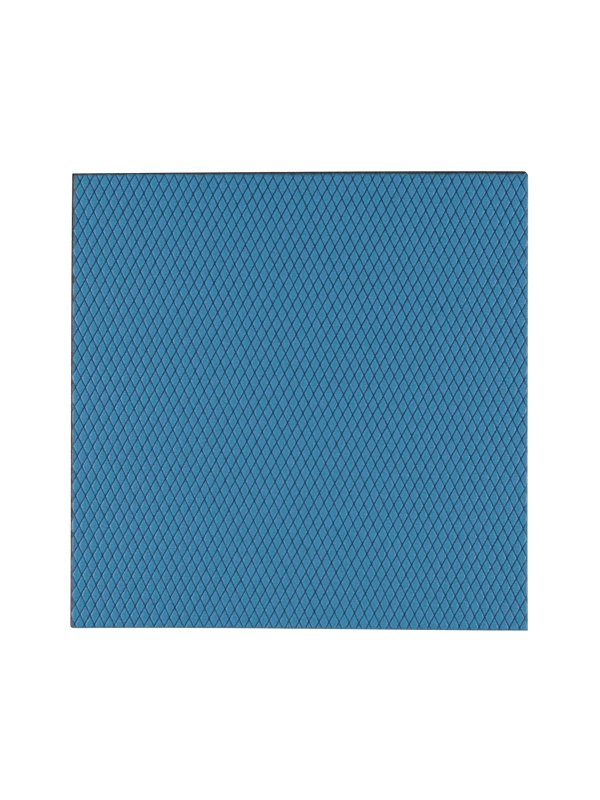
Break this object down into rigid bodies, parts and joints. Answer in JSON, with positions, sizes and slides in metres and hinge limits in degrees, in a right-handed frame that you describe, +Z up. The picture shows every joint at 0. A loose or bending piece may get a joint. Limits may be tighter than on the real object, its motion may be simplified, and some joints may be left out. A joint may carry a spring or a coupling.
{
  "type": "thermal pad sheet",
  "caption": "Square sheet of soft grey gap-filler silicone covered by a peel-off blue film with an embossed diamond pattern.",
  "frame": {"origin": "centre of the pad's underside, on the surface that the sheet lies on", "axes": "+Z up through the thickness, towards the film; +X along the near cut edge to the right; +Y towards the far cut edge"},
  "size_m": [0.1455, 0.1457, 0.0012],
  "materials": {
    "silicone": "matt, faintly tacky, fine ceramic grain",
    "film": "embossed diamonds, satin"
  },
  "bodies": {
    "root": {"silicone_pad": "silicone", "release_film": "film"}
  },
  "joints": []
}
